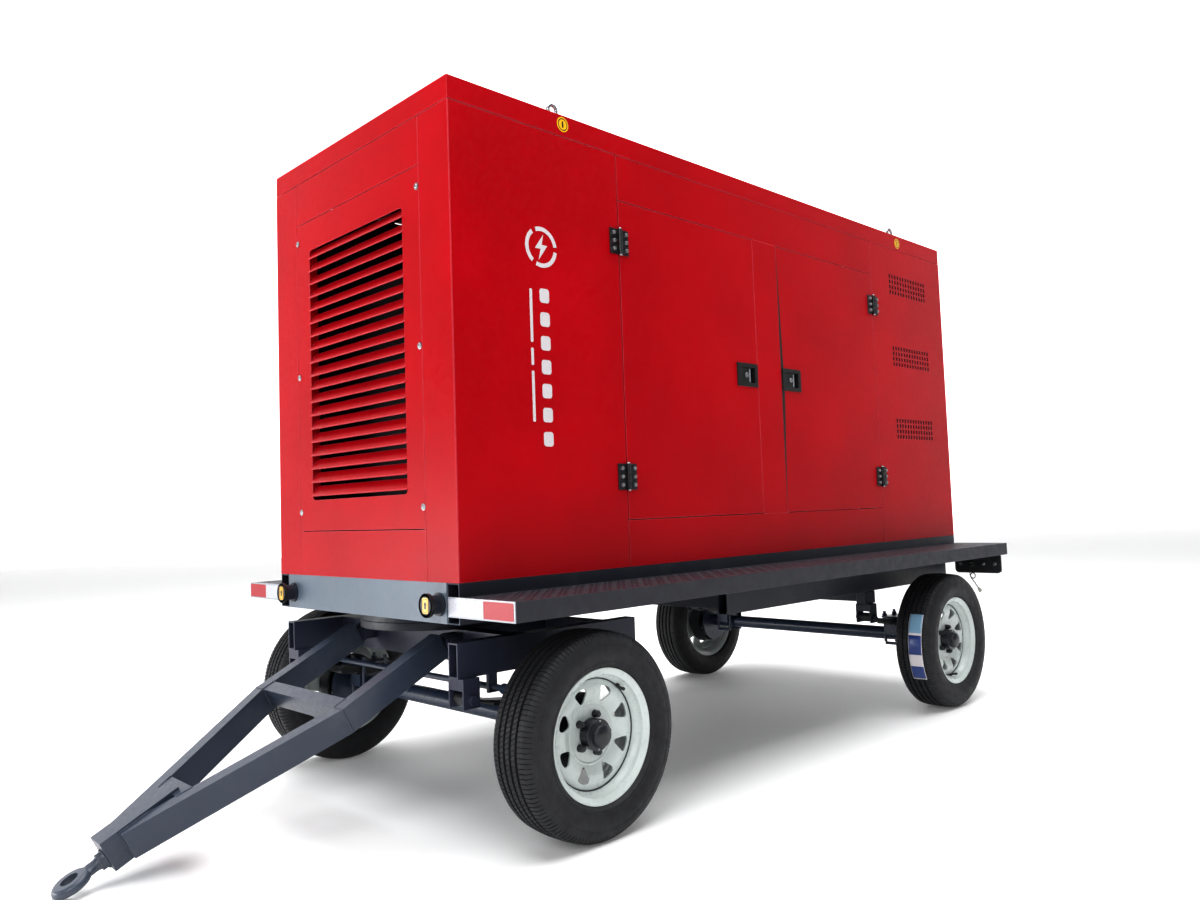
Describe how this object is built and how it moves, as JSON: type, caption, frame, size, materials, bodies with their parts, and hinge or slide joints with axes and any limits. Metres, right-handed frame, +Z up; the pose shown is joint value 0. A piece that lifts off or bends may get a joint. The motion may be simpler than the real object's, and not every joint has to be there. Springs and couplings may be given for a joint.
{
  "type": "towable diesel generator",
  "caption": "Enclosed diesel generating set on a drawbar trailer with turntable steering, sprung axles, side walkways, hinged service doors and a front cooling louvre.",
  "frame": {"origin": "on the ground under the middle of the machine, drawbar included", "axes": "+X to the rear, away from the towing eye; +Y to the left when facing the towing end; +Z up"},
  "size_m": [4.0248, 1.636, 2.304],
  "materials": {
    "canopy_paint": "gloss red powder coat",
    "frame_paint": "satin dark blue-grey paint",
    "deck_paint": "satin paint on chequer plate",
    "marker_film": "white and red reflective film",
    "lamp_plastic": "moulded",
    "lead_sleeve": "sleeved twisted wires",
    "connector_plastic": "moulded",
    "axle_paint": "satin paint",
    "spring_steel": "satin black",
    "black_zinc": "satin black",
    "chrome_eye": "polished",
    "bright_bolt": "zinc plated",
    "engine_iron": "green engine enamel",
    "mount_rubber": "moulded",
    "machined_steel": "machined",
    "fan_plastic": "moulded yellow",
    "belt_rubber": "ribbed",
    "radiator_core": "black painted fins",
    "tank_paint": "satin black",
    "silencer_steel": "aluminised",
    "filter_plastic": "moulded",
    "cabinet_paint": "light grey",
    "battery_plastic": "moulded",
    "button_plastic": "red",
    "bogie_paint": "satin paint",
    "drawbar_paint": "satin paint",
    "forged_steel": "painted forging",
    "latch_plastic": "black",
    "tyre_rubber": "ribbed tread",
    "rim_paint": "gloss off-white",
    "hub_paint": "satin black"
  },
  "bodies": {
    "chassis": {"base_frame": "frame_paint", "chassis_rails": "frame_paint", "walkways": "deck_paint", "marker_plates": "marker_film", "bollards": "frame_paint", "tail_lamps": "lamp_plastic", "lamp_lead": "lead_sleeve", "lead_connector": "connector_plastic", "rear_axle": "axle_paint", "rear_springs": "spring_steel", "turntable_upper": "frame_paint", "corner_posts": "canopy_paint", "roof": "canopy_paint", "louvre_panel": "canopy_paint", "end_panels": "canopy_paint", "side_panels": "canopy_paint", "hinge_leaves": "black_zinc", "lifting_eyes": "chrome_eye", "panel_bolts": "bright_bolt", "engine_block": "engine_iron", "cylinder_head": "engine_iron", "engine_mounts": "mount_rubber", "alternator": "engine_iron", "drive_belt": "belt_rubber", "radiator": "radiator_core", "fuel_tank": "tank_paint", "silencer": "silencer_steel", "air_filter": "filter_plastic", "control_box": "cabinet_paint", "battery": "battery_plastic", "door_frames": "canopy_paint"},
    "bogie": {"bogie_frame": "bogie_paint", "turntable_lower": "frame_paint", "front_axle": "axle_paint", "front_springs": "spring_steel"},
    "drawbar": {"drawbar_frame": "drawbar_paint", "tow_eye": "forged_steel"},
    "engine_rotor": {"rotor_shaft": "machined_steel"},
    "fan": {"cooling_fan": "fan_plastic"},
    "stop_button": {"stop_button": "button_plastic"},
    "door_1": {"door_1": "canopy_paint"},
    "latch_1": {"latch_1": "latch_plastic"},
    "wheel_1": {"tyre_1": "tyre_rubber", "rim_1": "rim_paint", "hub_1": "hub_paint"},
    "door_2": {"door_2": "canopy_paint"},
    "latch_2": {"latch_2": "latch_plastic"},
    "wheel_2": {"tyre_2": "tyre_rubber", "rim_2": "rim_paint", "hub_2": "hub_paint"},
    "door_3": {"door_3": "canopy_paint"},
    "latch_3": {"latch_3": "latch_plastic"},
    "wheel_3": {"tyre_3": "tyre_rubber", "rim_3": "rim_paint", "hub_3": "hub_paint"},
    "door_4": {"door_4": "canopy_paint"},
    "latch_4": {"latch_4": "latch_plastic"},
    "wheel_4": {"tyre_4": "tyre_rubber", "rim_4": "rim_paint", "hub_4": "hub_paint"}
  },
  "joints": [
    {"name": "steer", "type": "hinge", "parent": "chassis", "child": "bogie", "pos_m": [-0.79663, 0, 0.582], "axis": [0, 0, 1], "range_deg": [-60, 60]},
    {"name": "drawbar_hinge", "type": "hinge", "parent": "bogie", "child": "drawbar", "pos_m": [-0.95463, 0, 0.548], "axis": [0, 1, 0], "range_deg": [0, 27]},
    {"name": "wheel_1_spin", "type": "hinge", "parent": "bogie", "child": "wheel_1", "pos_m": [-0.79663, 0.725, 0.3005], "axis": [0, 1, 0], "continuous": true},
    {"name": "wheel_2_spin", "type": "hinge", "parent": "bogie", "child": "wheel_2", "pos_m": [-0.79663, -0.725, 0.3005], "axis": [0, 1, 0], "continuous": true},
    {"name": "wheel_3_spin", "type": "hinge", "parent": "chassis", "child": "wheel_3", "pos_m": [1.45337, 0.725, 0.3005], "axis": [0, 1, 0], "continuous": true},
    {"name": "wheel_4_spin", "type": "hinge", "parent": "chassis", "child": "wheel_4", "pos_m": [1.45337, -0.725, 0.3005], "axis": [0, 1, 0], "continuous": true},
    {"name": "door_1_hinge", "type": "hinge", "parent": "chassis", "child": "door_1", "pos_m": [-0.41963, -0.569, 1.46], "axis": [0, 0, -1], "range_deg": [0, 120]},
    {"name": "latch_1_paddle", "type": "hinge", "parent": "door_1", "child": "latch_1", "pos_m": [0.23987, -0.557, 1.46], "axis": [0, 0, -1], "range_deg": [0, 35], "stiffness_Nm_per_rad": 0.3, "springref_deg": -20.05},
    {"name": "door_2_hinge", "type": "hinge", "parent": "chassis", "child": "door_2", "pos_m": [1.28137, -0.569, 1.46], "axis": [0, 0, 1], "range_deg": [0, 120]},
    {"name": "latch_2_paddle", "type": "hinge", "parent": "door_2", "child": "latch_2", "pos_m": [0.54187, -0.557, 1.46], "axis": [0, 0, -1], "range_deg": [0, 35], "stiffness_Nm_per_rad": 0.3, "springref_deg": -20.05},
    {"name": "door_3_hinge", "type": "hinge", "parent": "chassis", "child": "door_3", "pos_m": [-0.41963, 0.569, 1.46], "axis": [0, 0, 1], "range_deg": [0, 120]},
    {"name": "latch_3_paddle", "type": "hinge", "parent": "door_3", "child": "latch_3", "pos_m": [0.23987, 0.557, 1.46], "axis": [0, 0, 1], "range_deg": [0, 35], "stiffness_Nm_per_rad": 0.3, "springref_deg": -20.05},
    {"name": "door_4_hinge", "type": "hinge", "parent": "chassis", "child": "door_4", "pos_m": [1.28137, 0.569, 1.46], "axis": [0, 0, -1], "range_deg": [0, 120]},
    {"name": "latch_4_paddle", "type": "hinge", "parent": "door_4", "child": "latch_4", "pos_m": [0.54187, 0.557, 1.46], "axis": [0, 0, 1], "range_deg": [0, 35], "stiffness_Nm_per_rad": 0.3, "springref_deg": -20.05},
    {"name": "engine_turn", "type": "hinge", "parent": "chassis", "child": "engine_rotor", "pos_m": [-0.12263, 0, 1.15], "axis": [1, 0, 0], "continuous": true},
    {"name": "fan_turn", "type": "hinge", "parent": "chassis", "child": "fan", "pos_m": [-0.67263, 0, 1.41], "axis": [1, 0, 0], "continuous": true},
    {"name": "stop_button_push", "type": "slide", "parent": "chassis", "child": "stop_button", "axis": [-1, 0, 0], "range_m": [0, 0.006], "stiffness_N_per_m": 900, "springref_m": -0.004}
  ],
  "couplings": [
    {"joint": "fan_turn", "follows": "engine_turn", "ratio": 1.5}
  ]
}
